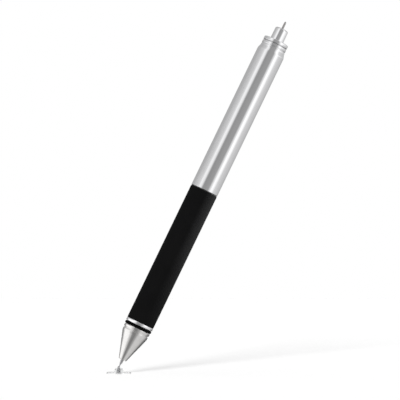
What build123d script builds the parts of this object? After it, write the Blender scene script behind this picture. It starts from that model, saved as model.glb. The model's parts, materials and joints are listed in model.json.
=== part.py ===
from build123d import *

import os
from math import asin, cos, degrees, radians, sin

# A pen with two ends: a clear touch disc on a ball joint, and a ballpoint that twists out of the barrel.
# Lengths are in millimetres. Heights run up the pen's own axis from the centre of the ball joint.
# The pen then leans over the disc, which lies flat with the middle of its underside at the origin.

# How the pen stands and moves
LEAN = 25.8
TILT_LIMIT = 35.0
TWIST_ANGLE = 180.0
TIP_TRAVEL = 4.0

# Fits, as gaps on the radius or along the axis
BALL_CLEARANCE = 0.02
NECK_CLEARANCE = 0.018
STUD_CLEARANCE = 0.02
STUD_END_PLAY = 0.03
TURN_CLEARANCE = 0.03
SLIDE_CLEARANCE = 0.03
PIN_CLEARANCE = 0.06
SLOT_END_RELIEF = 0.02
END_PLAY = 0.05
RING_CLEARANCE = 0.03
CUT_OVERRUN = 1.0

# Touch disc
DISC_DIAMETER = 8.5
DISC_THICKNESS = 0.6
DISC_CHAMFER = 0.12
HUB_BASE_DIAMETER = 3.4
HUB_TOP_DIAMETER = 2.5
HUB_HEIGHT = 1.95

# Ball socket moulded into the disc
BALL_HEIGHT = 2.3
SOCKET_WALL = 0.13
SOCKET_FLOOR = 0.2
SOCKET_FOOT_DIAMETER = 1.9
SOCKET_FOOT_THICKNESS = 0.25

# Ball stud
BALL_DIAMETER = 0.8
NECK_DIAMETER = 0.38
NECK_LENGTH = 0.75
STEM_DIAMETER = 1.0
STEM_TAPER_LENGTH = 1.15
STUD_HEAD_DIAMETER = 2.4
STUD_HEAD_LENGTH = 1.2

# Nose cone
NOSE_REACH = 2.9
NOSE_TIP_DIAMETER = 2.8
NOSE_INSET = 0.325
CONE_LENGTH = 9.7
NOSE_BAND_LENGTH = 1.0
STEM_BORE_LENGTH = 2.0
SEAM_WIDTH = 0.45
SEAM_DEPTH = 0.4
NOSE_SPIGOT_LENGTH = 5.5

# Retaining screw behind the stud
RETAINER_DIAMETER = 3.0
RETAINER_LENGTH = 4.0
RETAINER_HEX_ACROSS_FLATS = 1.5
RETAINER_HEX_DEPTH = 1.8

# Front collar
LIP_LENGTH = 0.95
RING_INSET = 0.075
RING_LENGTH = 1.15
RING_CHAMFER = 0.12
COLLAR_WALL = 0.5
COLLAR_SPIGOT_LENGTH = 7.0

# Cap ring in the collar's groove
O_RING_SECTION = 1.0
O_RING_FLATTENING = 0.02

# Grip
GRIP_INSET = 0.05
GRIP_LENGTH = 51.15
GRIP_CHAMFER = 0.2
CORE_STEP = 0.25
JOURNAL_END_LENGTH = 0.6

# Twist bearing between grip and barrel
WASHER_INSET = 0.25
WASHER_THICKNESS = 0.3
BUSH_LENGTH = 6.0
CLIP_THICKNESS = 0.5
CLIP_GROOVE_DEPTH = 0.15
CLIP_WIDTH = 0.45
CLIP_OPENING_ANGLE = 50.0

# Upper barrel
BARREL_DIAMETER = 10.0
BARREL_LENGTH = 53.5
SHOULDER_LENGTH = 1.4
NECK_BAND_INSET = 0.475
NECK_BAND_LENGTH = 0.5
END_THREAD_INSET = 1.4
END_THREAD_LENGTH = 5.5

# Nozzle end
END_GROOVE_WIDTH = 0.35
END_GROOVE_DEPTH = 0.3
END_RING_LENGTH = 0.95
END_FLANGE_LENGTH = 1.2
END_FLANGE_CHAMFER = 0.22
NOZZLE_DIAMETER = 4.9
NOZZLE_LENGTH = 4.6
NOZZLE_ROUND = 0.6
NOZZLE_END_WALL = 1.2
NEEDLE_CLEARANCE = 0.08
REFILL_CLEARANCE = 0.12

# Refill, a standard metal ballpoint size
REFILL_DIAMETER = 2.35
REFILL_WALL = 0.3
REFILL_LENGTH = 67.0
TIP_REACH = 2.85
NEEDLE_DIAMETER = 0.7
NEEDLE_LENGTH = 4.5
NEEDLE_CRIMP_LENGTH = 0.6
NEEDLE_RIM_WALL = 0.03
TIP_CONE_LENGTH = 1.6
TIP_BODY_DIAMETER = 1.8
TIP_BODY_LENGTH = 2.0
TIP_COLLAR_LENGTH = 0.8
TIP_SPIGOT_LENGTH = 4.0
INK_HOLE_DIAMETER = 0.3
WRITING_BALL_DIAMETER = 0.5
WRITING_BALL_CLEARANCE = 0.012
WRITING_BALL_SHOW = 0.16

# Twist mechanism
CAM_COLLAR_LENGTH = 5.0
CAM_COLLAR_GAP = 0.3
GUIDE_TOP_LENGTH = 0.4
PLUG_LENGTH = 4.0
PLUG_SPIGOT_LENGTH = 2.0
CARRIER_FOOT_LENGTH = 2.5
CARRIER_CHAMFER = 0.25
REFILL_SEAT_DEPTH = 8.0
PIN_DIAMETER = 1.2
PIN_DROP = 2.5
PIN_CHAMFER = 0.12
PIN_END_INSET = 0.12
RUNNING_GAP = 0.4

# Nested walls from the barrel in to the carrier, as shares of the room round the refill
barrel_wall_share = 0.19
bush_wall_share = 0.11
journal_wall_share = 0.115
cam_wall_share = 0.15
guide_wall_share = 0.12

# Radii, from the barrel inwards
barrel_radius = BARREL_DIAMETER / 2
refill_radius = REFILL_DIAMETER / 2
wall_room = barrel_radius - refill_radius - 3 * TURN_CLEARANCE - SLIDE_CLEARANCE
cam_wall = cam_wall_share * wall_room
barrel_bore = barrel_radius - barrel_wall_share * wall_room
bush_bore = barrel_bore - bush_wall_share * wall_room
journal_radius = bush_bore - TURN_CLEARANCE
core_radius = journal_radius + CORE_STEP
core_bore = journal_radius - journal_wall_share * wall_room
cam_radius = core_bore - TURN_CLEARANCE
cam_bore = cam_radius - cam_wall
guide_radius = cam_bore - TURN_CLEARANCE
guide_bore = guide_radius - guide_wall_share * wall_room
carrier_radius = guide_bore - SLIDE_CLEARANCE
ink_radius = refill_radius - REFILL_WALL
needle_radius = NEEDLE_DIAMETER / 2
nose_radius = barrel_radius - NOSE_INSET
nose_spigot_radius = core_bore - COLLAR_WALL
ring_radius = barrel_radius - RING_INSET
grip_radius = barrel_radius - GRIP_INSET
retainer_radius = RETAINER_DIAMETER / 2
stem_radius = STEM_DIAMETER / 2
stud_head_radius = STUD_HEAD_DIAMETER / 2
end_radius = barrel_radius - NECK_BAND_INSET
end_thread_radius = barrel_radius - END_THREAD_INSET
pin_radius = PIN_DIAMETER / 2
slot_width = PIN_DIAMETER + 2 * PIN_CLEARANCE

# Heights of the front end
nose_tip = NOSE_REACH
stud_seat = nose_tip + STEM_BORE_LENGTH
stud_back = stud_seat + STUD_HEAD_LENGTH
retainer_front = stud_back + STUD_END_PLAY
cone_top = nose_tip + CONE_LENGTH
nose_back = cone_top + NOSE_BAND_LENGTH
lip_bottom = nose_back + SEAM_WIDTH
nose_spigot_end = lip_bottom + NOSE_SPIGOT_LENGTH
groove_bottom = lip_bottom + LIP_LENGTH
groove_top = groove_bottom + O_RING_SECTION + 2 * RING_CLEARANCE
grip_bottom = groove_top + RING_LENGTH
collar_spigot_end = grip_bottom + COLLAR_SPIGOT_LENGTH
grip_top = grip_bottom + GRIP_LENGTH

# Heights of the twist bearing and the barrel
washer_top = grip_top + WASHER_THICKNESS
barrel_bottom = washer_top + END_PLAY
bush_top = barrel_bottom + BUSH_LENGTH
clip_bottom = bush_top + END_PLAY
clip_top = clip_bottom + CLIP_THICKNESS
core_top = clip_top + JOURNAL_END_LENGTH
cam_collar_bottom = core_top + CAM_COLLAR_GAP
cam_top = cam_collar_bottom + CAM_COLLAR_LENGTH
shoulder_bottom = barrel_bottom + BARREL_LENGTH
shoulder_top = shoulder_bottom + SHOULDER_LENGTH
barrel_top = shoulder_top + NECK_BAND_LENGTH
end_thread_bottom = barrel_top - END_THREAD_LENGTH

# Heights of the nozzle and the refill, with the ballpoint out
end_ring_bottom = barrel_top + END_GROOVE_WIDTH
end_ring_top = end_ring_bottom + END_RING_LENGTH
flange_bottom = end_ring_top + END_GROOVE_WIDTH
flange_top = flange_bottom + END_FLANGE_LENGTH
nozzle_top = flange_top + NOZZLE_LENGTH
nozzle_bore_top = nozzle_top - NOZZLE_END_WALL
tip_end = nozzle_top + TIP_REACH
needle_bottom = tip_end - NEEDLE_LENGTH
tip_body_top = needle_bottom - TIP_CONE_LENGTH
tip_collar_top = tip_body_top - TIP_BODY_LENGTH
refill_tube_top = tip_collar_top - TIP_COLLAR_LENGTH
tip_spigot_bottom = refill_tube_top - TIP_SPIGOT_LENGTH
refill_tail = tip_end - REFILL_LENGTH

# Heights of the twist mechanism, with the ballpoint out
carrier_top = refill_tail + REFILL_SEAT_DEPTH
pin_height = refill_tail - PIN_DROP
carrier_bottom = pin_height - CARRIER_FOOT_LENGTH
pin_lowest = pin_height - TIP_TRAVEL
plug_spigot_top = carrier_bottom - TIP_TRAVEL - RUNNING_GAP
plug_top = plug_spigot_top - PLUG_SPIGOT_LENGTH
plug_bottom = plug_top - PLUG_LENGTH
guide_top = carrier_top + GUIDE_TOP_LENGTH
cam_bottom = plug_top + RUNNING_GAP

# Ball joint: the socket's mouth is cut back until the stud's neck can lean to its limit
ball_radius = BALL_DIAMETER / 2
seat_radius = ball_radius + BALL_CLEARANCE
socket_radius = seat_radius + SOCKET_WALL
neck_radius = NECK_DIAMETER / 2
mouth_angle = TILT_LIMIT + degrees(asin((neck_radius + NECK_CLEARANCE) / seat_radius))
socket_top = BALL_HEIGHT + seat_radius * cos(radians(mouth_angle))

writing_ball_radius = WRITING_BALL_DIAMETER / 2
writing_seat_radius = writing_ball_radius + WRITING_BALL_CLEARANCE
writing_ball_height = tip_end - writing_ball_radius
needle_rim = tip_end - WRITING_BALL_SHOW
needle_rim_radius = writing_ball_radius + NEEDLE_RIM_WALL


def turned(*corners):
    """Solid turned about the axis from (radius, height) or (radius, height, round) corners."""
    points = [corner[:2] for corner in corners]
    rounds = [corner[2] if len(corner) > len(points[0]) else 0 for corner in corners]
    outline = FilletPolyline(*points, radius=rounds, close=True)
    return revolve(Plane.XZ * make_face(outline), axis=Axis.Z)


def tube(inner, outer, bottom, top):
    """Plain tube on the axis."""
    return turned((inner, bottom), (outer, bottom), (outer, top), (inner, top))


def cross_bar(radius, length, height):
    """Round bar across the axis, along Y."""
    return Pos(0, 0, height) * Rot(90, 0, 0) * Cylinder(radius, length)


def socket_blank():
    """Outside of the ball socket, with the foot that the clear disc is moulded round."""
    foot_top = SOCKET_FLOOR + SOCKET_FOOT_THICKNESS
    foot_radius = SOCKET_FOOT_DIAMETER / 2
    return turned(
        (0, SOCKET_FLOOR),
        (foot_radius, SOCKET_FLOOR),
        (foot_radius, foot_top),
        (socket_radius, foot_top),
        (socket_radius, socket_top),
        (0, socket_top),
    )


def touch_disc():
    """Clear disc with a broken edge and a low tapered hub, moulded round the socket."""
    disc_radius = DISC_DIAMETER / 2
    disc = turned(
        (0, 0),
        (disc_radius - DISC_CHAMFER, 0),
        (disc_radius, DISC_CHAMFER),
        (disc_radius, DISC_THICKNESS - DISC_CHAMFER),
        (disc_radius - DISC_CHAMFER, DISC_THICKNESS),
        (HUB_BASE_DIAMETER / 2, DISC_THICKNESS),
        (HUB_TOP_DIAMETER / 2, HUB_HEIGHT),
        (0, HUB_HEIGHT),
    )
    return disc - socket_blank()


def disc_socket():
    """Ball socket whose mouth closes past the ball's widest part."""
    return socket_blank() - Pos(0, 0, BALL_HEIGHT) * Sphere(seat_radius)


def ball_stud():
    """Ball, thin neck, tapered stem and the head that stays behind the cone's seat."""
    taper_top = NECK_LENGTH + STEM_TAPER_LENGTH
    stem = turned(
        (0, 0),
        (neck_radius, 0),
        (neck_radius, NECK_LENGTH),
        (stem_radius, taper_top),
        (stem_radius, stud_seat),
        (stud_head_radius, stud_seat),
        (stud_head_radius, stud_back),
        (0, stud_back),
    )
    return Sphere(ball_radius) + stem


def nose_cone():
    """Cone with the stud's stepped bore, a seam groove and a spigot for the collar."""
    stem_bore = stem_radius + STUD_CLEARANCE
    head_bore = stud_head_radius + STUD_CLEARANCE
    return turned(
        (stem_bore, nose_tip),
        (NOSE_TIP_DIAMETER / 2, nose_tip),
        (nose_radius, cone_top),
        (nose_radius, nose_back),
        (nose_radius - SEAM_DEPTH, nose_back),
        (nose_radius - SEAM_DEPTH, lip_bottom),
        (nose_spigot_radius, lip_bottom),
        (nose_spigot_radius, nose_spigot_end),
        (retainer_radius, nose_spigot_end),
        (retainer_radius, retainer_front),
        (head_bore, retainer_front),
        (head_bore, stud_seat),
        (stem_bore, stud_seat),
    )


def stud_retainer():
    """Grub screw behind the stud's head, with a hexagon socket in its back."""
    screw_back = retainer_front + RETAINER_LENGTH
    screw = turned((0, retainer_front), (retainer_radius, retainer_front),
                   (retainer_radius, screw_back), (0, screw_back))
    flats = RegularPolygon(RETAINER_HEX_ACROSS_FLATS / 2, side_count=6, major_radius=False)
    socket = extrude(Pos(0, 0, screw_back - RETAINER_HEX_DEPTH) * flats, amount=RETAINER_HEX_DEPTH)
    return screw - socket


def front_collar():
    """Lip, cap-ring groove and polished ring, with a spigot pressed into the grip's core."""
    groove_floor = ring_radius - O_RING_SECTION - RING_CLEARANCE
    return turned(
        (nose_spigot_radius, lip_bottom),
        (nose_radius, lip_bottom),
        (nose_radius, groove_bottom),
        (groove_floor, groove_bottom),
        (groove_floor, groove_top),
        (ring_radius - RING_CHAMFER, groove_top),
        (ring_radius, groove_top + RING_CHAMFER),
        (ring_radius, grip_bottom - RING_CHAMFER),
        (ring_radius - RING_CHAMFER, grip_bottom),
        (core_bore, grip_bottom),
        (core_bore, collar_spigot_end),
        (nose_spigot_radius, collar_spigot_end),
    )


def cap_o_ring():
    """Rubber ring that a push-on cap grips, slightly flattened along the axis."""
    section_radius = O_RING_SECTION / 2
    section = Ellipse(section_radius, section_radius - O_RING_FLATTENING)
    middle = (groove_bottom + groove_top) / 2
    return revolve(Plane.XZ * Pos(ring_radius - section_radius, middle) * section, axis=Axis.Z)


def grip_sleeve():
    """Rubber sleeve with eased ends."""
    return turned(
        (core_radius, grip_bottom),
        (grip_radius - GRIP_CHAMFER, grip_bottom),
        (grip_radius, grip_bottom + GRIP_CHAMFER),
        (grip_radius, grip_top - GRIP_CHAMFER),
        (grip_radius - GRIP_CHAMFER, grip_top),
        (core_radius, grip_top),
    )


def grip_core():
    """Tube under the rubber, stepped down to the journal and grooved for the clip."""
    clip_groove = journal_radius - CLIP_GROOVE_DEPTH
    return turned(
        (core_bore, grip_bottom),
        (core_radius, grip_bottom),
        (core_radius, grip_top),
        (journal_radius, grip_top),
        (journal_radius, clip_bottom),
        (clip_groove, clip_bottom),
        (clip_groove, clip_top),
        (journal_radius, clip_top),
        (journal_radius, core_top),
        (core_bore, core_top),
    )


def thrust_washer():
    """Thin black washer that the barrel's end turns against."""
    return tube(journal_radius, barrel_radius - WASHER_INSET, grip_top, washer_top)


def retaining_clip():
    """Open ring sprung into the journal's groove above the bush."""
    inner = journal_radius - CLIP_GROOVE_DEPTH
    ring = tube(inner, inner + CLIP_WIDTH, clip_bottom, clip_top)
    reach = inner + CLIP_WIDTH + CUT_OVERRUN
    half_angle = radians(CLIP_OPENING_ANGLE / 2)
    mouth = make_face(Polyline(
        (0, 0),
        (reach * cos(half_angle), -reach * sin(half_angle)),
        (reach * cos(half_angle), reach * sin(half_angle)),
        close=True,
    ))
    return ring - extrude(Pos(0, 0, clip_bottom - CUT_OVERRUN) * mouth,
                          amount=CLIP_THICKNESS + 2 * CUT_OVERRUN)


def guide_plug():
    """Plug pressed into the core, with a spigot that centres the guide tube."""
    return turned(
        (0, plug_bottom),
        (core_bore, plug_bottom),
        (core_bore, plug_top),
        (guide_bore, plug_top),
        (guide_bore, plug_spigot_top),
        (0, plug_spigot_top),
    )


def guide_tube():
    """Fixed tube with two straight slots that let the drive pin move only along the axis."""
    slot = Rot(0, 0, 90) * SlotCenterToCenter(TIP_TRAVEL, slot_width)
    middle = pin_height - TIP_TRAVEL / 2
    cut = extrude(Plane.XZ * Pos(0, middle) * slot, amount=guide_radius + CUT_OVERRUN, both=True)
    return tube(guide_bore, guide_radius, plug_top, guide_top) - cut


def helical_slot():
    """Cuts for a slot that climbs the pin's travel over the barrel's twist, with a round rest at each end."""
    middle_radius = (cam_bore + cam_radius) / 2
    depth = cam_wall + CUT_OVERRUN
    lead = TIP_TRAVEL * 360 / TWIST_ANGLE
    climb = Helix(lead, TIP_TRAVEL, middle_radius, center=(0, 0, pin_lowest))
    start = Plane(origin=climb @ 0, x_dir=(1, 0, 0), z_dir=climb % 0)
    cuts = [sweep(start * Rectangle(depth, slot_width), path=climb, is_frenet=True)]
    rest_radius = slot_width / 2 + SLOT_END_RELIEF
    for turn, height in ((0, pin_lowest), (TWIST_ANGLE, pin_height)):
        end = Pos(middle_radius, 0, height) * Rot(0, 90, 0) * Cylinder(rest_radius, depth)
        cuts.append(Rot(0, 0, turn) * end)
    return cuts


def cam_tube():
    """Tube with two helical slots, one for each end of the drive pin."""
    cam = tube(cam_bore, cam_radius, cam_bottom, cam_top)
    for first_turn in (90, 270):
        for cut in helical_slot():
            cam -= Rot(0, 0, first_turn) * cut
    return cam


def cam_collar():
    """Ring that joins the cam tube to the barrel's bore."""
    return tube(cam_radius, barrel_bore, cam_collar_bottom, cam_top)


def bearing_bush():
    """Bush pressed into the barrel's end, running on the core's journal."""
    return tube(bush_bore, barrel_bore, barrel_bottom, bush_top)


def upper_barrel():
    """Thin-walled barrel, necked in at the top and threaded for the nozzle."""
    return turned(
        (barrel_bore, barrel_bottom),
        (barrel_radius, barrel_bottom),
        (barrel_radius, shoulder_bottom),
        (end_radius, shoulder_top),
        (end_radius, barrel_top),
        (end_thread_radius, barrel_top),
        (end_thread_radius, end_thread_bottom),
        (barrel_bore, end_thread_bottom),
    )


def pen_nozzle():
    """End piece with two shadow grooves, a flange and the nozzle that the tip comes out of."""
    groove = end_radius - END_GROOVE_DEPTH
    refill_bore = refill_radius + REFILL_CLEARANCE
    tip_hole = needle_radius + NEEDLE_CLEARANCE
    return turned(
        (refill_bore, end_thread_bottom),
        (end_thread_radius, end_thread_bottom),
        (end_thread_radius, barrel_top),
        (groove, barrel_top),
        (groove, end_ring_bottom),
        (end_radius, end_ring_bottom),
        (end_radius, end_ring_top),
        (groove, end_ring_top),
        (groove, flange_bottom),
        (end_radius, flange_bottom),
        (end_radius, flange_top - END_FLANGE_CHAMFER),
        (end_radius - END_FLANGE_CHAMFER, flange_top),
        (NOZZLE_DIAMETER / 2, flange_top),
        (NOZZLE_DIAMETER / 2, nozzle_top, NOZZLE_ROUND),
        (tip_hole, nozzle_top),
        (tip_hole, nozzle_bore_top),
        (refill_bore, nozzle_bore_top),
    )


def refill_carrier():
    """Sliding follower with a seat for the refill's tail and a cross hole for the drive pin."""
    carrier = turned(
        (0, carrier_bottom),
        (carrier_radius - CARRIER_CHAMFER, carrier_bottom),
        (carrier_radius, carrier_bottom + CARRIER_CHAMFER),
        (carrier_radius, carrier_top - CARRIER_CHAMFER),
        (carrier_radius - CARRIER_CHAMFER, carrier_top),
        (refill_radius, carrier_top),
        (refill_radius, refill_tail),
        (0, refill_tail),
    )
    return carrier - cross_bar(pin_radius, 2 * (carrier_radius + CUT_OVERRUN), pin_height)


def drive_pin():
    """Cross pin that both tubes steer."""
    pin = cross_bar(pin_radius, 2 * (cam_radius - PIN_END_INSET), pin_height)
    return chamfer(pin.edges().filter_by(GeomType.CIRCLE), PIN_CHAMFER)


def refill_tube():
    """Metal ink tube."""
    return tube(ink_radius, refill_radius, refill_tail, refill_tube_top)


def refill_tip():
    """Ballpoint tip: spigot, collar, cone and needle, bored for the ink and closed round the ball."""
    ink_hole = INK_HOLE_DIAMETER / 2
    tip = turned(
        (ink_hole, tip_spigot_bottom),
        (ink_radius, tip_spigot_bottom),
        (ink_radius, refill_tube_top),
        (refill_radius, refill_tube_top),
        (refill_radius, tip_collar_top),
        (TIP_BODY_DIAMETER / 2, tip_collar_top),
        (TIP_BODY_DIAMETER / 2, tip_body_top),
        (needle_radius, needle_bottom),
        (needle_radius, needle_rim - NEEDLE_CRIMP_LENGTH),
        (needle_rim_radius, needle_rim),
        (ink_hole, needle_rim),
    )
    return tip - Pos(0, 0, writing_ball_height) * Sphere(writing_seat_radius)


def writing_ball():
    """Ball that rolls in the tip."""
    return Pos(0, 0, writing_ball_height) * Sphere(writing_ball_radius)


level_pieces = [touch_disc, disc_socket]
leaning_pieces = [
    ball_stud,
    nose_cone,
    stud_retainer,
    front_collar,
    cap_o_ring,
    grip_sleeve,
    grip_core,
    thrust_washer,
    retaining_clip,
    guide_plug,
    guide_tube,
    upper_barrel,
    bearing_bush,
    cam_collar,
    cam_tube,
    pen_nozzle,
    refill_carrier,
    drive_pin,
    refill_tube,
    refill_tip,
    writing_ball,
]

os.makedirs("parts", exist_ok=True)
for piece in level_pieces:
    export_step(piece(), f"parts/{piece.__name__}.step")
leaning = Pos(0, 0, BALL_HEIGHT) * Rot(0, LEAN, 0)
for piece in leaning_pieces:
    export_step(leaning * piece(), f"parts/{piece.__name__}.step")
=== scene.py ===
import json
from math import acos, asin, atan2, hypot, pi, radians, sqrt

import bmesh
import bpy
from mathutils import Matrix, Vector


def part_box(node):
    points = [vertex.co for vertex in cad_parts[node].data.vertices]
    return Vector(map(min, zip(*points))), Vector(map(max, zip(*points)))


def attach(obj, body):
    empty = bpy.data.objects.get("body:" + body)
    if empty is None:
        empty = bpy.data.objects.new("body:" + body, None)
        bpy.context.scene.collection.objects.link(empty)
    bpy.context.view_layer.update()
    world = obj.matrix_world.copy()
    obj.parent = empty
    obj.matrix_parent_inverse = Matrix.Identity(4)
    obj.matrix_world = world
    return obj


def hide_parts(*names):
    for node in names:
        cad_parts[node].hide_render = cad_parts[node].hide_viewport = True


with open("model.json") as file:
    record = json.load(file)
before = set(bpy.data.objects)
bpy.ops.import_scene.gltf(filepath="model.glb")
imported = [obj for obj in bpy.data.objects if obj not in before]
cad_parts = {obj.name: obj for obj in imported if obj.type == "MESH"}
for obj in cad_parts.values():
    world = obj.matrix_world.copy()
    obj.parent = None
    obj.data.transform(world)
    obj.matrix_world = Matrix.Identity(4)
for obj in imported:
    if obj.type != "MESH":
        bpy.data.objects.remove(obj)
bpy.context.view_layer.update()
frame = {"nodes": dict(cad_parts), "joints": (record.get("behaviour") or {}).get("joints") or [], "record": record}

# Touch disc
# A clear polycarbonate disc that slides over a screen. It is moulded in one shot round the metal socket,
# with the soft radii of the tool. The plastic bends light only a little and is faintly grey, more so in the
# hub, so that the socket keeps its width to the eye.

# The frame is in metres, and the sizes here are in millimetres
mm = 0.001
on_the_floor = Matrix.Scale(mm, 4)
weld_distance = 0.0005
crease_angle = radians(30)


def draw_outline(bm, corners, closed=False):
    """Chain of edges through (radius, height) corners. A third value rounds that corner off."""
    points = [bm.verts.new((corner[0], 0, corner[1])) for corner in corners]
    nexts = points[1:] + points[:1] if closed else points[1:]
    for point, following in zip(points, nexts):
        bm.edges.new((point, following))
    for point, corner in zip(points, corners):
        for reach in corner[2:]:
            bmesh.ops.bevel(bm, geom=[point], offset=reach, offset_type="OFFSET", segments=6, profile=0.5,
                            affect="VERTICES", material=-1)
    return points[-1]


def spin_outline(name, bm, place, steps=144):
    """Turns a drawn outline once round the axis, closes it and sets it in its place."""
    bmesh.ops.spin(bm, geom=bm.verts[:] + bm.edges[:], cent=(0, 0, 0), axis=(0, 0, 1), angle=2 * pi,
                   steps=steps, use_merge=True)
    bmesh.ops.remove_doubles(bm, verts=bm.verts, dist=weld_distance)
    bmesh.ops.recalc_face_normals(bm, faces=bm.faces)
    bmesh.ops.transform(bm, matrix=place, verts=bm.verts)
    mesh = bpy.data.meshes.new(name)
    bm.to_mesh(mesh)
    bm.free()
    mesh.shade_smooth()
    mesh.set_sharp_from_angle(angle=crease_angle)
    piece = bpy.data.objects.new(name, mesh)
    bpy.context.scene.collection.objects.link(piece)
    piece.modifiers.new("straight_sides", "WEIGHTED_NORMAL").keep_sharp = True
    return piece


def stand_in(piece, node, material):
    """Lets a finished piece take the place of its CAD node, on the same body, with the finish it is given."""
    piece.data.materials.append(material)
    record = frame["record"]
    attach(piece, next(body for body, nodes in record["behaviour"]["bodies"].items() if node in nodes))
    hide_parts(node)


def feed(tree, node, inputs):
    """Sets a node's inputs by name, from plain values or from other nodes' outputs."""
    for name, value in inputs.items():
        if isinstance(value, bpy.types.NodeSocket):
            tree.links.new(value, node.inputs[name])
        else:
            node.inputs[name].default_value = value


def add_node(tree, kind, inputs, **settings):
    """Adds a shader node with its settings and inputs."""
    node = tree.nodes.new("ShaderNode" + kind)
    for name, value in settings.items():
        setattr(node, name, value)
    feed(tree, node, inputs)
    return node


def new_finish(name, place):
    """New material, its shader, and the surface point in millimetres from the foot of the piece's axis."""
    material = bpy.data.materials.new(name)
    material.use_nodes = True
    tree = material.node_tree
    location, turn, scale = place.decompose()
    mapping = add_node(tree, "Mapping", {
        "Vector": add_node(tree, "TexCoord", {}).outputs["Object"],
        "Location": location,
        "Rotation": turn.to_euler(),
        "Scale": scale,
    }, vector_type="TEXTURE")
    return material, tree, tree.nodes["Principled BSDF"], mapping.outputs["Vector"]


def new_group(name, inputs, outputs):
    """New shader group with its sockets, and the nodes at its two ends."""
    group = bpy.data.node_groups.new(name, "ShaderNodeTree")
    for label, kind in inputs.items():
        group.interface.new_socket(label, in_out="INPUT", socket_type=kind)
    for label in outputs:
        group.interface.new_socket(label, in_out="OUTPUT", socket_type="NodeSocketFloat")
    return group, group.nodes.new("NodeGroupInput").outputs, group.nodes.new("NodeGroupOutput")


def use_group(tree, group, inputs):
    """Places a shader group in a material with its own values."""
    node = tree.nodes.new("ShaderNodeGroup")
    node.node_tree = group
    feed(tree, node, inputs)
    return node.outputs


def stretch(tree, value, low, high, to_low=0.0, to_high=1.0):
    """Spreads the part of a value between low and high over a new range, and holds it there."""
    return add_node(tree, "MapRange", {
        "Value": value,
        "From Min": low,
        "From Max": high,
        "To Min": to_low,
        "To Max": to_high,
    }).outputs["Result"]


def spread(tree, mask, low, high):
    """Number that runs from low to high as the mask goes from 0 to 1."""
    return stretch(tree, mask, 0.0, 1.0, low, high)


def mix(tree, mask, first, second):
    """Mixes two colours, each an output or four numbers, as the mask goes from 0 to 1."""
    return add_node(tree, "MixRGB", {"Fac": mask, "Color1": first, "Color2": second}).outputs["Color"]


def blend(tree, mask, first, second):
    """Colour that runs from first to second as the mask goes from 0 to 1."""
    return mix(tree, mask, (*first, 1), (*second, 1))


def height_in(material):
    """Height up the axis of the piece, in millimetres, for use inside its finish."""
    tree = material.node_tree
    return add_node(tree, "SeparateXYZ", {"Vector": tree.nodes["Mapping"].outputs["Vector"]}).outputs["Z"]


def overlay(material, mask, colour):
    """Lays a second colour over a finish, as far as the mask goes."""
    tree = material.node_tree
    shader = tree.nodes["Principled BSDF"]
    first = shader.inputs["Base Color"].links[0].from_socket
    feed(tree, shader, {"Base Color": mix(tree, mask, first, (*colour, 1))})


# Soft patches where a surface has been touched
finger_marks, given, result = new_group(
    "finger_marks", {"Point": "NodeSocketVector", "Size": "NodeSocketFloat"}, ["Mask"])
spots_per_mm = add_node(finger_marks, "Math", {0: 1.0, 1: given["Size"]}, operation="DIVIDE").outputs[0]
patches = add_node(finger_marks, "TexNoise", {
    "Vector": given["Point"],
    "Scale": spots_per_mm,
    "Detail": 5.0,
    "Roughness": 0.6,
    "Distortion": 0.6,
}).outputs["Fac"]
feed(finger_marks, result, {"Mask": stretch(finger_marks, patches, low=0.45, high=0.7)})

disc_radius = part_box("touch_disc")[1].x / mm
hub_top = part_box("touch_disc")[1].z / mm
disc_thickness = 0.6
sole_round = 0.15
rim_round = 0.2
hub_foot_radius = 1.7
hub_foot_round = 0.35
hub_brow_radius = 1.25
hub_brow_round = 0.14
socket_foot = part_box("disc_socket")[0].z / mm
socket_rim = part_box("disc_socket")[1].z / mm
socket_foot_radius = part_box("disc_socket")[1].x / mm
socket_foot_thickness = 0.25
socket_radius = 0.48
# The plastic overlaps the metal by this much, so that no air shows between them
moulded_on = 0.01
foot_top = socket_foot + socket_foot_thickness

bm = bmesh.new()
draw_outline(bm, [
    (0, 0),
    (disc_radius, 0, sole_round),
    (disc_radius, disc_thickness, rim_round),
    (hub_foot_radius, disc_thickness, hub_foot_round),
    (hub_brow_radius, hub_top, hub_brow_round),
    (socket_radius - moulded_on, hub_top),
    (socket_radius - moulded_on, foot_top - moulded_on),
    (socket_foot_radius - moulded_on, foot_top - moulded_on),
    (socket_foot_radius - moulded_on, socket_foot + moulded_on),
    (0, socket_foot + moulded_on),
])
clear_disc = spin_outline("clear_disc", bm, on_the_floor)

clear_tint = (0.88, 0.885, 0.885)
touched_tint = (0.85, 0.855, 0.855)
hub_tint = (0.68, 0.685, 0.685)
hub_tint_rise = 0.2
clear_plastic, tree, shader, point = new_finish("clear_plastic", on_the_floor)
touched = use_group(tree, finger_marks, {"Point": point, "Size": 1.6})["Mask"]
feed(tree, shader, {
    "Base Color": blend(tree, touched, clear_tint, touched_tint),
    "Roughness": spread(tree, touched, low=0.015, high=0.06),
    "IOR": 1.25,
    "Transmission Weight": 1.0,
})
in_hub = stretch(tree, height_in(clear_plastic), disc_thickness, disc_thickness + hub_tint_rise)
overlay(clear_plastic, in_hub, hub_tint)
stand_in(clear_disc, "touch_disc", clear_plastic)

# Ball socket
# A turned steel cup that the disc is moulded round. Its mouth is rolled in past the middle of the
# ball, and the flange at its foot keeps it from pulling out of the plastic. The top of its mouth carries a painted
# highlight.
swing = next(joint for joint in frame["joints"] if joint["name"] == "disc_swing")
ball_centre = Vector(swing["pos_m"])
pen_axis = Vector(swing["axis"])
tool_mark_depth = 0.002 * mm


def add_arc(bm, start, centre_height, angle):
    """Carries an outline on round a ball's centre from its last point."""
    bmesh.ops.spin(bm, geom=[start], cent=(0, 0, centre_height), axis=(0, 1, 0), angle=angle, steps=28)


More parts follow.
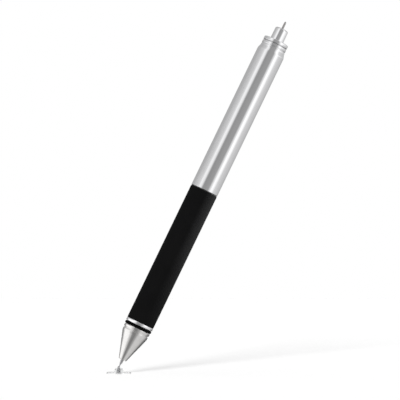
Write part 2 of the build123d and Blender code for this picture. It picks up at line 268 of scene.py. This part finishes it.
# Fine rings left by the tool that turned a piece
turning_marks, given, result = new_group(
    "turning_marks", {"Point": "NodeSocketVector", "Pitch": "NodeSocketFloat"}, ["Height", "Mask"])
height = add_node(turning_marks, "SeparateXYZ", {"Vector": given["Point"]}).outputs["Z"]
turns = add_node(turning_marks, "Math", {0: height, 1: given["Pitch"]}, operation="DIVIDE").outputs[0]
rings = add_node(turning_marks, "TexNoise", {
    "W": turns,
    "Scale": 1.0,
    "Detail": 3.0,
    "Roughness": 0.7,
}, noise_dimensions="1D").outputs["Fac"]
clouds = add_node(turning_marks, "TexNoise", {
    "Vector": given["Point"],
    "Scale": 0.5,
    "Detail": 4.0,
}).outputs["Fac"]
clouded_rings = add_node(turning_marks, "Math", {0: rings, 1: clouds}, operation="MULTIPLY").outputs[0]
feed(turning_marks, result, {
    "Height": rings,
    "Mask": stretch(turning_marks, clouded_rings, low=0.12, high=0.38),
})


def turned_metal(name, place, dull, bright, clean, handled, pitch):
    """Turned metal between two tones, with tool rings a pitch apart and a roughness that touch raises."""
    material, tree, shader, point = new_finish(name, place)
    marks = use_group(tree, turning_marks, {"Point": point, "Pitch": pitch})
    touched = use_group(tree, finger_marks, {"Point": point, "Size": 6.0})["Mask"]
    relief = add_node(tree, "Bump", {
        "Height": marks["Height"],
        "Strength": 0.12,
        "Distance": tool_mark_depth,
    })
    feed(tree, shader, {
        "Base Color": blend(tree, marks["Mask"], dull, bright),
        "Metallic": 1.0,
        "Roughness": spread(tree, touched, clean, handled),
        "Normal": relief.outputs["Normal"],
    })
    return material


ball_height = ball_centre.z / mm
seat_radius = 0.42
mouth_angle = acos((socket_rim - ball_height) / seat_radius)
mouth_radius = sqrt(seat_radius ** 2 - (socket_rim - ball_height) ** 2)
mouth_round = 0.05

bm = bmesh.new()
rim = draw_outline(bm, [
    (0, socket_foot),
    (socket_foot_radius, socket_foot),
    (socket_foot_radius, foot_top),
    (socket_radius, foot_top),
    (socket_radius, socket_rim, mouth_round),
    (mouth_radius, socket_rim),
])
add_arc(bm, rim, ball_height, pi - mouth_angle)
socket_cup = spin_outline("socket_cup", bm, on_the_floor)

mouth_highlight_grey = (0.58, 0.58, 0.59)
mouth_highlight_depth = 0.1
socket_steel = turned_metal("socket_steel", on_the_floor, dull=(0.29, 0.29, 0.30), bright=(0.33, 0.33, 0.34),
                            clean=0.16, handled=0.26, pitch=0.05)
# Painted highlight: the top of the mouth is coloured lighter than the rest of the cup
painted_mouth_highlight = stretch(socket_steel.node_tree, height_in(socket_steel), hub_top - mouth_highlight_depth, hub_top)
overlay(socket_steel, painted_mouth_highlight, mouth_highlight_grey)
stand_in(socket_cup, "disc_socket", socket_steel)

# Ball stud
# One steel turning: the polished ball, a thin neck that lets the disc lean, and a tapered stem.
# Its head turns freely behind the cone's seat.
lean = atan2(pen_axis.x, pen_axis.z)
on_the_pen = Matrix.Translation(ball_centre) @ Matrix.Rotation(lean, 4, "Y") @ Matrix.Scale(mm, 4)


def reach_of(node):
    """Lowest and highest point of a CAD node along the pen, and its largest radius, in millimetres."""
    points = [on_the_pen.inverted() @ vertex.co for vertex in frame["nodes"][node].data.vertices]
    heights = [point.z for point in points]
    return min(heights), max(heights), max(hypot(point.x, point.y) for point in points)


ball_bottom, stud_back, stud_head_radius = reach_of("ball_stud")
ball_radius = -ball_bottom
neck_radius = 0.19
neck_top = 0.75
neck_round = 0.15
stem_radius = 0.5
taper_top = 1.9
taper_round = 0.2
stud_head_length = 1.2
stud_head_round = 0.1
stud_seat = stud_back - stud_head_length
neck_angle = asin(neck_radius / ball_radius)

bm = bmesh.new()
neck_foot = draw_outline(bm, [
    (0, stud_back),
    (stud_head_radius, stud_back, stud_head_round),
    (stud_head_radius, stud_seat),
    (stem_radius, stud_seat),
    (stem_radius, taper_top, taper_round),
    (neck_radius, neck_top, neck_round),
    (neck_radius, sqrt(ball_radius ** 2 - neck_radius ** 2)),
])
add_arc(bm, neck_foot, 0, pi - neck_angle)
ball_and_stem = spin_outline("ball_and_stem", bm, on_the_pen)
stem_steel = turned_metal("stem_steel", on_the_pen, dull=(0.40, 0.40, 0.41), bright=(0.56, 0.56, 0.57),
                          clean=0.14, handled=0.22, pitch=0.06)
stand_in(ball_and_stem, "ball_stud", stem_steel)

# Nose cone
# Turned steel, polished on the outside. It screws into the collar with a shadow groove between the two,
# and is bored from the back for the stud and the screw that holds the stud in.
cone_tip, spigot_end, cone_radius = reach_of("nose_cone")
cone_tip_radius = 1.4
cone_tip_round = 0.14
cone_length = 9.7
cone_back = cone_tip + cone_length
cone_back_round = 0.25
band_length = 1.0
band_back = cone_back + band_length
band_round = 0.08
# The band and the lip behind it widen this much towards the back
front_draft = 0.035
lip_bottom, collar_end = reach_of("front_collar")[:2]
seam_depth = 0.2
seam_radius = cone_radius - seam_depth
spigot_radius = 2.93
screw_radius = 1.5
screw_front = reach_of("stud_retainer")[0]
turning_room = 0.02
stem_bore = stem_radius + turning_room
head_bore = stud_head_radius + turning_room

bm = bmesh.new()
draw_outline(bm, [
    (stem_bore, cone_tip),
    (cone_tip_radius, cone_tip, cone_tip_round),
    (cone_radius - front_draft, cone_back, cone_back_round),
    (cone_radius, band_back, band_round),
    (seam_radius, band_back),
    (seam_radius, lip_bottom),
    (spigot_radius, lip_bottom),
    (spigot_radius, spigot_end),
    (screw_radius, spigot_end),
    (screw_radius, screw_front),
    (head_bore, screw_front),
    (head_bore, stud_seat),
    (stem_bore, stud_seat),
], closed=True)
polished_cone = spin_outline("polished_cone", bm, on_the_pen)
cone_steel = turned_metal("cone_steel", on_the_pen, dull=(0.70, 0.69, 0.68), bright=(0.80, 0.79, 0.78),
                          clean=0.12, handled=0.2, pitch=0.12)
stand_in(polished_cone, "nose_cone", cone_steel)

# Stud retainer
# A steel grub screw with a hexagon socket in its back. It is run up behind the stud's head until the stud
# just turns freely.


def dress(node, material):
    """Gives a CAD node that keeps its own shape a finish."""
    frame["nodes"][node].material_slots[0].material = material


spring_steel = turned_metal("spring_steel", on_the_pen, dull=(0.30, 0.30, 0.32), bright=(0.46, 0.46, 0.48),
                            clean=0.2, handled=0.3, pitch=0.2)
dress("stud_retainer", spring_steel)

# Front collar
# The lip, the groove for the cap ring and the mirror-bright ring in front of the grip are one steel turning.
# Its long spigot is pressed into the tube under the rubber. The bright ring is drawn flush with the barrel.
barrel_bottom, barrel_top, barrel_radius = reach_of("upper_barrel")
grip_bottom = reach_of("grip_sleeve")[0]
lip_length = 0.89
lip_round = 0.12
# Dark edges look slim against white, so the lip and the washer are drawn larger by this much
dark_edge = 0.12
lip_radius = cone_radius + dark_edge
ring_section = 1.2
ring_room = 0.05
groove_bottom = lip_bottom + lip_length
groove_top = groove_bottom + ring_section + 2 * ring_room
groove_radius = barrel_radius - ring_section - ring_room
bright_ring_round = 0.15
core_bore = 3.4325

bm = bmesh.new()
draw_outline(bm, [
    (spigot_radius, lip_bottom),
    (lip_radius - front_draft, lip_bottom, lip_round),
    (lip_radius, groove_bottom, lip_round),
    (groove_radius, groove_bottom),
    (groove_radius, groove_top),
    (barrel_radius, groove_top, bright_ring_round),
    (barrel_radius, grip_bottom, bright_ring_round),
    (core_bore, grip_bottom),
    (core_bore, collar_end),
    (spigot_radius, collar_end),
], closed=True)
bright_collar = spin_outline("bright_collar", bm, on_the_pen)

mirror_plating = (0.95, 0.95, 0.96)
bright_steel = turned_metal("bright_steel", on_the_pen, dull=(0.70, 0.69, 0.68), bright=(0.80, 0.79, 0.78),
                            clean=0.05, handled=0.1, pitch=0.1)
plated = stretch(bright_steel.node_tree, height_in(bright_steel), groove_bottom, groove_top)
overlay(bright_steel, plated, mirror_plating)
stand_in(bright_collar, "front_collar", bright_steel)

# Cap ring
# A plain black O-ring of moulded rubber. It is stretched over the lip into its groove, so that a cap pushes
# on over it, and is drawn flush with the barrel.
ring_flattening = 0.98
ring_middle = (groove_bottom + groove_top) / 2
ring_centre_radius = barrel_radius - ring_section / 2

# Fine pebble skin that the mould leaves on rubber
pebble_skin, given, result = new_group(
    "pebble_skin", {"Point": "NodeSocketVector", "Pebbles per mm": "NodeSocketFloat"}, ["Height"])
pebbles = add_node(pebble_skin, "TexNoise", {
    "Vector": given["Point"],
    "Scale": given["Pebbles per mm"],
    "Detail": 2.0,
    "Roughness": 0.5,
}).outputs["Fac"]
feed(pebble_skin, result, {"Height": pebbles})


def rubber(name, place, deep, worn, clean, handled, pebbles_per_mm, pebble_height):
    """Matt rubber between two tones, with a moulded pebble skin."""
    material, tree, shader, point = new_finish(name, place)
    touched = use_group(tree, finger_marks, {"Point": point, "Size": 9.0})["Mask"]
    skin = use_group(tree, pebble_skin, {"Point": point, "Pebbles per mm": pebbles_per_mm})["Height"]
    relief = add_node(tree, "Bump", {
        "Height": skin,
        "Strength": 0.5,
        "Distance": pebble_height * mm,
    })
    feed(tree, shader, {
        "Base Color": blend(tree, touched, deep, worn),
        "Roughness": spread(tree, touched, clean, handled),
        "Specular IOR Level": 0.02,
        "Normal": relief.outputs["Normal"],
    })
    return material


bm = bmesh.new()
upright = Matrix.Rotation(pi / 2, 4, "X") @ Matrix.Diagonal((1, ring_flattening, 1, 1))
over_the_groove = Matrix.Translation((ring_centre_radius, 0, ring_middle)) @ upright
bmesh.ops.create_circle(bm, segments=40, radius=ring_section / 2, matrix=over_the_groove)
rubber_ring = spin_outline("rubber_ring", bm, on_the_pen)
ring_rubber = rubber("ring_rubber", on_the_pen, deep=(0.002, 0.002, 0.002), worn=(0.003, 0.003, 0.003),
                     clean=0.5, handled=0.6, pebbles_per_mm=14.0, pebble_height=0.004)
stand_in(rubber_ring, "cap_o_ring", ring_rubber)

# Grip core
# A drawn aluminium tube under the rubber, with the front collar pressed into it. Its top is turned down to
# the journal that the barrel runs on.
plain_aluminium = turned_metal("plain_aluminium", on_the_pen, dull=(0.66, 0.66, 0.67),
                               bright=(0.78, 0.78, 0.79), clean=0.22, handled=0.32, pitch=0.15)
dress("grip_core", plain_aluminium)

# Guide plug
# A plug moulded in white acetal and pressed into the core. Its spigot centres the guide tube and keeps it
# from turning.
flow_grain_depth = 0.004 * mm

# Cloudy lines where plastic has flowed in its mould, and the grain of the mould's face
flow_marks, given, result = new_group("flow_marks", {"Point": "NodeSocketVector"}, ["Mask", "Height"])
flow = add_node(flow_marks, "TexNoise", {
    "Vector": given["Point"],
    "Scale": 0.8,
    "Detail": 4.0,
    "Distortion": 1.2,
}).outputs["Fac"]
mould_grain = add_node(flow_marks, "TexNoise", {
    "Vector": given["Point"],
    "Scale": 18.0,
    "Detail": 2.0,
}).outputs["Fac"]
feed(flow_marks, result, {
    "Mask": stretch(flow_marks, flow, low=0.35, high=0.65),
    "Height": mould_grain,
})


def moulded_plastic(name, place, deep, light, clean, handled):
    """Moulded plastic between two close tones, with a faint flow pattern in its skin."""
    material, tree, shader, point = new_finish(name, place)
    flow = use_group(tree, flow_marks, {"Point": point})
    relief = add_node(tree, "Bump", {
        "Height": flow["Height"],
        "Strength": 0.3,
        "Distance": flow_grain_depth,
    })
    feed(tree, shader, {
        "Base Color": blend(tree, flow["Mask"], deep, light),
        "Roughness": spread(tree, flow["Mask"], clean, handled),
        "Normal": relief.outputs["Normal"],
    })
    return material


white_acetal = moulded_plastic("white_acetal", on_the_pen, deep=(0.78, 0.77, 0.73), light=(0.86, 0.85, 0.81),
                               clean=0.38, handled=0.5)
dress("guide_plug", white_acetal)

# Guide tube
# A thin steel tube with two straight slots along it. It is pressed onto the plug, and its slots keep the
# drive pin from turning.
dress("guide_tube", spring_steel)

# Rubber grip
# A black rubber sleeve moulded straight onto the core, with rounded ends and a fine matt skin. It is drawn
# flush with the barrel.
grip_top = reach_of("grip_sleeve")[1]
grip_front_round = 0.25
grip_back_round = 0.1
core_radius = 4.1085

bm = bmesh.new()
draw_outline(bm, [
    (core_radius, grip_bottom),
    (barrel_radius, grip_bottom, grip_front_round),
    (barrel_radius, grip_top, grip_back_round),
    (core_radius, grip_top),
], closed=True)
rubber_grip = spin_outline("rubber_grip", bm, on_the_pen)
grip_rubber = rubber("grip_rubber", on_the_pen, deep=(0.0043, 0.0043, 0.0044), worn=(0.0053, 0.0053, 0.0054),
                     clean=0.6, handled=0.75, pebbles_per_mm=7.0, pebble_height=0.012)
stand_in(rubber_grip, "grip_sleeve", grip_rubber)

# Thrust washer
# A thin washer moulded in black plastic and slipped over the journal. It keeps the turning barrel off the
# rubber. Only its edge shows, as a dark line.
washer_bottom, washer_top, washer_solid_radius = reach_of("thrust_washer")
washer_radius = washer_solid_radius + dark_edge
washer_round = 0.04
journal_radius = 3.8585

bm = bmesh.new()
draw_outline(bm, [
    (journal_radius, washer_bottom),
    (washer_radius, washer_bottom, washer_round),
    (washer_radius, washer_top, washer_round),
    (journal_radius, washer_top),
], closed=True)
black_washer = spin_outline("black_washer", bm, on_the_pen)
washer_black = moulded_plastic("washer_black", on_the_pen, deep=(0.012, 0.012, 0.012),
                               light=(0.022, 0.022, 0.022), clean=0.4, handled=0.55)
stand_in(black_washer, "thrust_washer", washer_black)

# Bearing bush and retaining clip
# The brass bush is pressed into the barrel and turns on the journal. The open steel ring above it snaps
# into the journal's groove and keeps the barrel on.
brass = turned_metal("brass", on_the_pen, dull=(0.68, 0.50, 0.22), bright=(0.80, 0.62, 0.32),
                     clean=0.16, handled=0.28, pitch=0.12)
dress("bearing_bush", brass)
dress("retaining_clip", spring_steel)

# Cam collar and cam tube
# Brass, pressed together and into the barrel, so that they turn with it. Two helical slots in the tube
# drive the pin along the pen.
dress("cam_collar", brass)
dress("cam_tube", brass)

# Refill carrier and drive pin
# The carrier is moulded in white acetal and holds the refill's tail. The steel pin through it reaches both
# pairs of slots.
dress("refill_carrier", white_acetal)
dress("drive_pin", spring_steel)

# Refill tube
# The brass ink tube of a standard metal refill. Its tail is pushed into the carrier, and the tip is pressed
# into its other end.
dress("refill_tube", brass)

# Refill tip
# A turned nickel-silver tip, necked down to a thin needle whose rim is rolled in over the writing ball. Thin
# metal looks slim against white, so the needle is drawn a little thicker than its solid.
tip_bottom, needle_rim, tip_collar_radius = reach_of("refill_tip")
writing_ball_bottom, tip_end, writing_ball_radius = reach_of("writing_ball")
writing_ball_centre = (writing_ball_bottom + tip_end) / 2
tip_spigot_radius = 0.875
tip_spigot_length = 4.0
tip_collar_length = 0.8
tip_body_radius = 0.9
tip_body_length = 2.0
tip_body_round = 0.2
tip_taper_length = 1.6
needle_radius = 0.4
needle_foot_round = 0.3
needle_nose_length = 0.6
needle_nose_round = 0.2
needle_rim_radius = 0.28
needle_rim_round = 0.012
collar_bottom = tip_bottom + tip_spigot_length
collar_top = collar_bottom + tip_collar_length
body_top = collar_top + tip_body_length
needle_bottom = body_top + tip_taper_length
needle_nose = needle_rim - needle_nose_length
ink_hole = 0.15
rolling_room = 0.012
ball_seat = writing_ball_radius + rolling_room
seat_mouth = sqrt(ball_seat ** 2 - (needle_rim - writing_ball_centre) ** 2)
seat_floor = writing_ball_centre - sqrt(ball_seat ** 2 - ink_hole ** 2)

bm = bmesh.new()
rim = draw_outline(bm, [
    (ink_hole, seat_floor),
    (ink_hole, tip_bottom),
    (tip_spigot_radius, tip_bottom),
    (tip_spigot_radius, collar_bottom),
    (tip_collar_radius, collar_bottom),
    (tip_collar_radius, collar_top),
    (tip_body_radius, collar_top),
    (tip_body_radius, body_top, tip_body_round),
    (needle_radius, needle_bottom, needle_foot_round),
    (needle_radius, needle_nose, needle_nose_round),
    (needle_rim_radius, needle_rim, needle_rim_round),
    (seat_mouth, needle_rim),
])
add_arc(bm, rim, writing_ball_centre, pi - asin(seat_mouth / ball_seat) - asin(ink_hole / ball_seat))
needle_tip = spin_outline("needle_tip", bm, on_the_pen)
tip_metal = turned_metal("tip_metal", on_the_pen, dull=(0.36, 0.35, 0.34), bright=(0.48, 0.47, 0.46),
                         clean=0.18, handled=0.28, pitch=0.08)
stand_in(needle_tip, "refill_tip", tip_metal)

# Writing ball
# A ball of hard carbide, ground round and smooth. The needle's rolled rim holds it in, and it rolls freely
# on its seat.
bm = bmesh.new()
add_arc(bm, draw_outline(bm, [(0, tip_end)]), writing_ball_centre, pi)
ink_ball = spin_outline("ink_ball", bm, on_the_pen, steps=56)
ball_carbide = turned_metal("ball_carbide", on_the_pen, dull=(0.28, 0.28, 0.29), bright=(0.42, 0.42, 0.43),
                            clean=0.1, handled=0.2, pitch=0.05)
stand_in(ink_ball, "writing_ball", ball_carbide)

# Upper barrel
# A thin aluminium tube, drawn, necked in at the top and given a satin finish along its length.
# It turns on the grip to run the ballpoint out.
barrel_foot_round = 0.08
barrel_bore = 4.296
neck_band_depth = 0.475
neck_band_length = 0.5
neck_band_round = 0.05
neck_band_radius = barrel_radius - neck_band_depth
neck_band_bottom = barrel_top - neck_band_length
neck_fillet = 0.2
shoulder_length = 1.4
shoulder_round = 0.25
shoulder_bottom = neck_band_bottom - shoulder_length
thread_depth = 1.4
thread_length = 5.5
thread_radius = barrel_radius - thread_depth
thread_bottom = barrel_top - thread_length
drawn_line_depth = 0.002 * mm

# Fine lines along a drawn or brushed piece
drawn_grain, given, result = new_group("drawn_grain", {"Point": "NodeSocketVector"}, ["Height", "Mask"])
drawn_out = add_node(drawn_grain, "Mapping", {"Vector": given["Point"], "Scale": (9.0, 9.0, 0.16)})
drawn_lines = add_node(drawn_grain, "TexNoise", {
    "Vector": drawn_out.outputs["Vector"],
    "Scale": 1.0,
    "Detail": 5.0,
    "Roughness": 0.65,
}).outputs["Fac"]
feed(drawn_grain, result, {
    "Height": drawn_lines,
    "Mask": stretch(drawn_grain, drawn_lines, low=0.35, high=0.65),
})


def satin_metal(name, place, dull, bright, clean, handled):
    """Satin metal between two close tones, with its grain drawn along the pen."""
    material, tree, shader, point = new_finish(name, place)
    marks = use_group(tree, drawn_grain, {"Point": point})
    touched = use_group(tree, finger_marks, {"Point": point, "Size": 12.0})["Mask"]
    relief = add_node(tree, "Bump", {
        "Height": marks["Height"],
        "Strength": 0.15,
        "Distance": drawn_line_depth,
    })
    feed(tree, shader, {
        "Base Color": blend(tree, marks["Mask"], dull, bright),
        "Metallic": 1.0,
        "Roughness": spread(tree, touched, clean, handled),
        "Normal": relief.outputs["Normal"],
    })
    return material


bm = bmesh.new()
draw_outline(bm, [
    (barrel_bore, barrel_bottom),
    (barrel_radius, barrel_bottom, barrel_foot_round),
    (barrel_radius, shoulder_bottom, shoulder_round),
    (neck_band_radius, neck_band_bottom, neck_fillet),
    (neck_band_radius, barrel_top, neck_band_round),
    (thread_radius, barrel_top),
    (thread_radius, thread_bottom),
    (barrel_bore, thread_bottom),
], closed=True)
satin_barrel = spin_outline("satin_barrel", bm, on_the_pen)
barrel_aluminium = satin_metal("barrel_aluminium", on_the_pen, dull=(0.79, 0.79, 0.80),
                               bright=(0.84, 0.84, 0.85), clean=0.1, handled=0.15)
stand_in(satin_barrel, "upper_barrel", barrel_aluminium)

# Nozzle
# The end piece is turned in the same aluminium and screws into the barrel. Two shadow grooves set off a
# narrow ring, and a flange carries the short nozzle that the needle comes out of.
nozzle_foot, nozzle_top, flange_radius = reach_of("pen_nozzle")
joint_groove_depth = 0.2
joint_groove_radius = flange_radius - joint_groove_depth
end_groove_depth = 0.3
end_groove_radius = flange_radius - end_groove_depth
groove_length = 0.35
end_ring_length = 0.95
end_ring_round = 0.08
end_ring_bottom = barrel_top + groove_length
end_ring_top = end_ring_bottom + end_ring_length
flange_length = 1.2
flange_round = 0.3
flange_bottom = end_ring_top + groove_length
flange_top = flange_bottom + flange_length
nozzle_radius = 2.45
nozzle_draft = 0.07
nozzle_foot_fillet = 0.12
nozzle_mouth_round = 0.6
needle_hole_length = 1.2
needle_hole_round = 0.06
needle_room = 0.08
needle_hole = needle_radius + needle_room
nozzle_bore_top = nozzle_top - needle_hole_length
refill_room = 0.12
refill_bore = tip_collar_radius + refill_room

bm = bmesh.new()
draw_outline(bm, [
    (refill_bore, nozzle_foot),
    (thread_radius, nozzle_foot),
    (thread_radius, barrel_top),
    (joint_groove_radius, barrel_top),
    (joint_groove_radius, end_ring_bottom),
    (flange_radius, end_ring_bottom, end_ring_round),
    (flange_radius, end_ring_top, end_ring_round),
    (end_groove_radius, end_ring_top),
    (end_groove_radius, flange_bottom),
    (flange_radius, flange_bottom, end_ring_round),
    (flange_radius, flange_top, flange_round),
    (nozzle_radius, flange_top, nozzle_foot_fillet),
    (nozzle_radius - nozzle_draft, nozzle_top, nozzle_mouth_round),
    (needle_hole, nozzle_top, needle_hole_round),
    (needle_hole, nozzle_bore_top),
    (refill_bore, nozzle_bore_top),
], closed=True)
satin_nozzle = spin_outline("satin_nozzle", bm, on_the_pen)

# Painted shade in the grooves: their metal is coloured darker where shade falls, a little beside the barrel,
# and most under the flange.
groove_shade_grey = (0.46, 0.46, 0.47)
joint_groove_shade = 0.2
shade_edge_margin = 0.06
flange_edge = 0.02
nozzle_aluminium = satin_metal("nozzle_aluminium", on_the_pen, dull=(0.80, 0.80, 0.81),
                               bright=(0.85, 0.85, 0.86), clean=0.1, handled=0.14)
tree = nozzle_aluminium.node_tree
point = tree.nodes["Mapping"].outputs["Vector"]
height = height_in(nozzle_aluminium)
flat = add_node(tree, "VectorMath", {0: point, 1: (1, 1, 0)}, operation="MULTIPLY").outputs["Vector"]
radius = add_node(tree, "VectorMath", {0: flat}, operation="LENGTH").outputs["Value"]
groove_shade_by_height = stretch(tree, height, end_ring_bottom, end_ring_top, joint_groove_shade, 1.0)
shade_below_flange = stretch(tree, height, flange_bottom, flange_bottom + flange_edge, groove_shade_by_height, 0.0)
painted_groove_shade = stretch(tree, radius, end_groove_radius, flange_radius - shade_edge_margin, shade_below_flange, 0.0)
# Painted shade: a darker colour laid into the grooves
overlay(nozzle_aluminium, painted_groove_shade, groove_shade_grey)
stand_in(satin_nozzle, "pen_nozzle", nozzle_aluminium)

# Floor
# A pale paper sheet that runs out of sight on every side. To the camera it has some light of its own, so
# that it is white and still takes the shadow.
floor_drop = 0.05 * mm
floor_reach = 3.0
paper_shade = (0.84, 0.84, 0.84)
paper_light = (0.86, 0.86, 0.86)
paper_glow = 0.515


def from_the_eye(tree, ray):
    """1 for a ray from the camera, straight or through clear plastic, and 0 for any other."""
    rays = {0: ray["Is Camera Ray"], 1: ray["Transmission Depth"]}
    return add_node(tree, "Math", rays, operation="MAXIMUM", use_clamp=True).outputs[0]


bm = bmesh.new()
below_the_pen = Matrix.Translation((0, 0, -floor_drop))
bmesh.ops.create_grid(bm, x_segments=1, y_segments=1, size=floor_reach, matrix=below_the_pen)
floor_mesh = bpy.data.meshes.new("white_floor")
bm.to_mesh(floor_mesh)
bm.free()
white_floor = bpy.data.objects.new("white_floor", floor_mesh)
bpy.context.scene.collection.objects.link(white_floor)
white_floor.visible_glossy = False
paper, tree, shader, point = new_finish("white_paper", on_the_floor)
fibres = add_node(tree, "TexNoise", {"Vector": point, "Scale": 0.05, "Detail": 3.0}).outputs["Fac"]
ray = add_node(tree, "LightPath", {}).outputs
feed(tree, shader, {
    "Base Color": blend(tree, fibres, paper_shade, paper_light),
    "Roughness": 1.0,
    "Specular IOR Level": 0.0,
    "Emission Color": (1.0, 1.0, 1.0, 1.0),
    "Emission Strength": spread(tree, from_the_eye(tree, ray), low=0.0, high=paper_glow),
})
floor_mesh.materials.append(paper)

# Studio
# White all round for the eye and for what shows through clear plastic. Metal sees a grey room with two long
# softboxes, one on each side of the camera, and a dark gap between them. The straight sides mirror its level
# part, the cone its low part and the tapered nozzle its high part.
world = bpy.data.worlds.new("studio")
bpy.context.scene.world = world
world.use_nodes = True
tree = world.node_tree
towards_camera = Vector((0, -1, 0))
across_pen = pen_axis.cross(towards_camera)
fill_light = (0.35, 0.35, 0.35, 1)
white = (1, 1, 1, 1)
ray = add_node(tree, "LightPath", {}).outputs
looking = add_node(tree, "TexCoord", {}).outputs["Generated"]


def share_along(direction):
    """How far a ray points along a direction."""
    directions = {0: looking, 1: direction}
    return add_node(tree, "VectorMath", directions, operation="DOT_PRODUCT").outputs["Value"]


def round_the_pen(name, tones):
    """Studio seen round the pen's axis, as (degrees from the camera, brightness) steps."""
    turn = add_node(tree, "Math", {0: share_along(across_pen), 1: share_along(towards_camera)},
                    operation="ARCTAN2").outputs[0]
    ramp = add_node(tree, "ValToRGB", {"Fac": stretch(tree, turn, -pi, pi)}, label=name)
    ramp.color_ramp.interpolation = "EASE"
    elements = ramp.color_ramp.elements
    while len(elements) < len(tones):
        elements.new(0.5)
    for element, (degrees, brightness) in zip(elements, tones):
        element.position = (degrees + 180) / 360
        element.color = (brightness, brightness, brightness, 1)
    return ramp.outputs["Color"]


level_room = round_the_pen("level", [
    (-180, 0.6), (-155, 0.48), (-120, 0.51), (-80, 0.63), (-65, 0.74), (-50, 1.10), (-40, 1.00),
    (-23, 0.35), (0, 0.38), (21, 0.39),
    (38, 0.90), (47, 1.30), (54, 1.29), (80, 0.74), (110, 0.65), (155, 0.50), (180, 0.6),
])
low_room = round_the_pen("low", [
    (-180, 0.2), (-150, 0.28), (-133, 0.42), (-104, 1.28), (-60, 1.25), (-40, 0.74),
    (-18, 0.28), (0, 0.26), (16, 0.42),
    (38, 0.76), (84, 0.72), (100, 0.62), (126, 0.22), (145, 0.15), (180, 0.2),
])
high_room = round_the_pen("high", [
    (-180, 0.6), (-155, 0.50), (-120, 0.52), (-82, 0.68), (-65, 0.86), (-50, 1.15), (-40, 1.00),
    (-23, 0.34), (0, 0.38), (21, 0.40),
    (37, 0.90), (46, 1.30), (76, 1.15), (100, 0.88), (125, 0.70), (155, 0.55), (180, 0.6),
])
up_the_pen = share_along(pen_axis)
downward = stretch(tree, up_the_pen, low=0.035, high=-0.015)
rising = stretch(tree, up_the_pen, low=0.112, high=0.13)
upward = stretch(tree, up_the_pen, low=0.25, high=0.4, to_low=rising, to_high=0.15)
upper = mix(tree, upward, level_room, high_room)
room = mix(tree, downward, upper, low_room)
lit = mix(tree, ray["Is Glossy Ray"], fill_light, room)
seen = mix(tree, from_the_eye(tree, ray), lit, white)
feed(tree, tree.nodes["Background"], {"Color": seen, "Strength": 1.0})

# Key lamp
# One large far softbox, low in front and a little to the left. It lays the soft shadow on the floor back to
# the right, and stays out of the reflections.
key_direction = Vector((-0.145, -0.95, 0.236))
key_lamp = bpy.data.lights.new("key_lamp", "SUN")
key_lamp.angle = radians(8.5)
key_lamp.energy = 3.0
key = bpy.data.objects.new("key_lamp", key_lamp)
key.location = key_direction
key.rotation_euler = key_direction.to_track_quat("Z", "Y").to_euler()
key.visible_glossy = False
bpy.context.scene.collection.objects.link(key)

# Side lamp
# A low strip light to the right, turned up at the grip, which draws the edge of the black rubber. It stays
# out of sight and out of the reflections.
side_place = Vector((105, 12, 8)) * mm
side_aim = Vector((25, 0, 55)) * mm
side_lamp = bpy.data.lights.new("side_lamp", "AREA")
side_lamp.shape = "RECTANGLE"
side_lamp.size = 0.015
side_lamp.size_y = 0.09
side_lamp.spread = radians(70)
side_lamp.energy = 0.17
side = bpy.data.objects.new("side_lamp", side_lamp)
side.location = side_place
side.rotation_euler = (side_place - side_aim).to_track_quat("Z", "Y").to_euler()
side.visible_glossy = False
side.visible_camera = False
bpy.context.scene.collection.objects.link(side)

# Camera
# A metre away with a long lens, a little above the floor, so that the disc is seen from its edge and the
# rings near it run straight across.
camera_place = Vector((-12.7, -998.8, 35.0)) * mm
camera_aim = Vector((28.372, 0, 60.714)) * mm
camera_data = bpy.data.cameras.new("photo_camera")
camera_data.sensor_width = 36.0
camera_data.lens = 257.1
camera_data.clip_start = 0.01
camera = bpy.data.objects.new("photo_camera", camera_data)
camera.location = camera_place
camera.rotation_euler = (camera_aim - camera_place).to_track_quat("-Z", "Y").to_euler()
bpy.context.scene.collection.objects.link(camera)
bpy.context.scene.camera = camera
bpy.context.scene.view_settings.view_transform = "Standard"
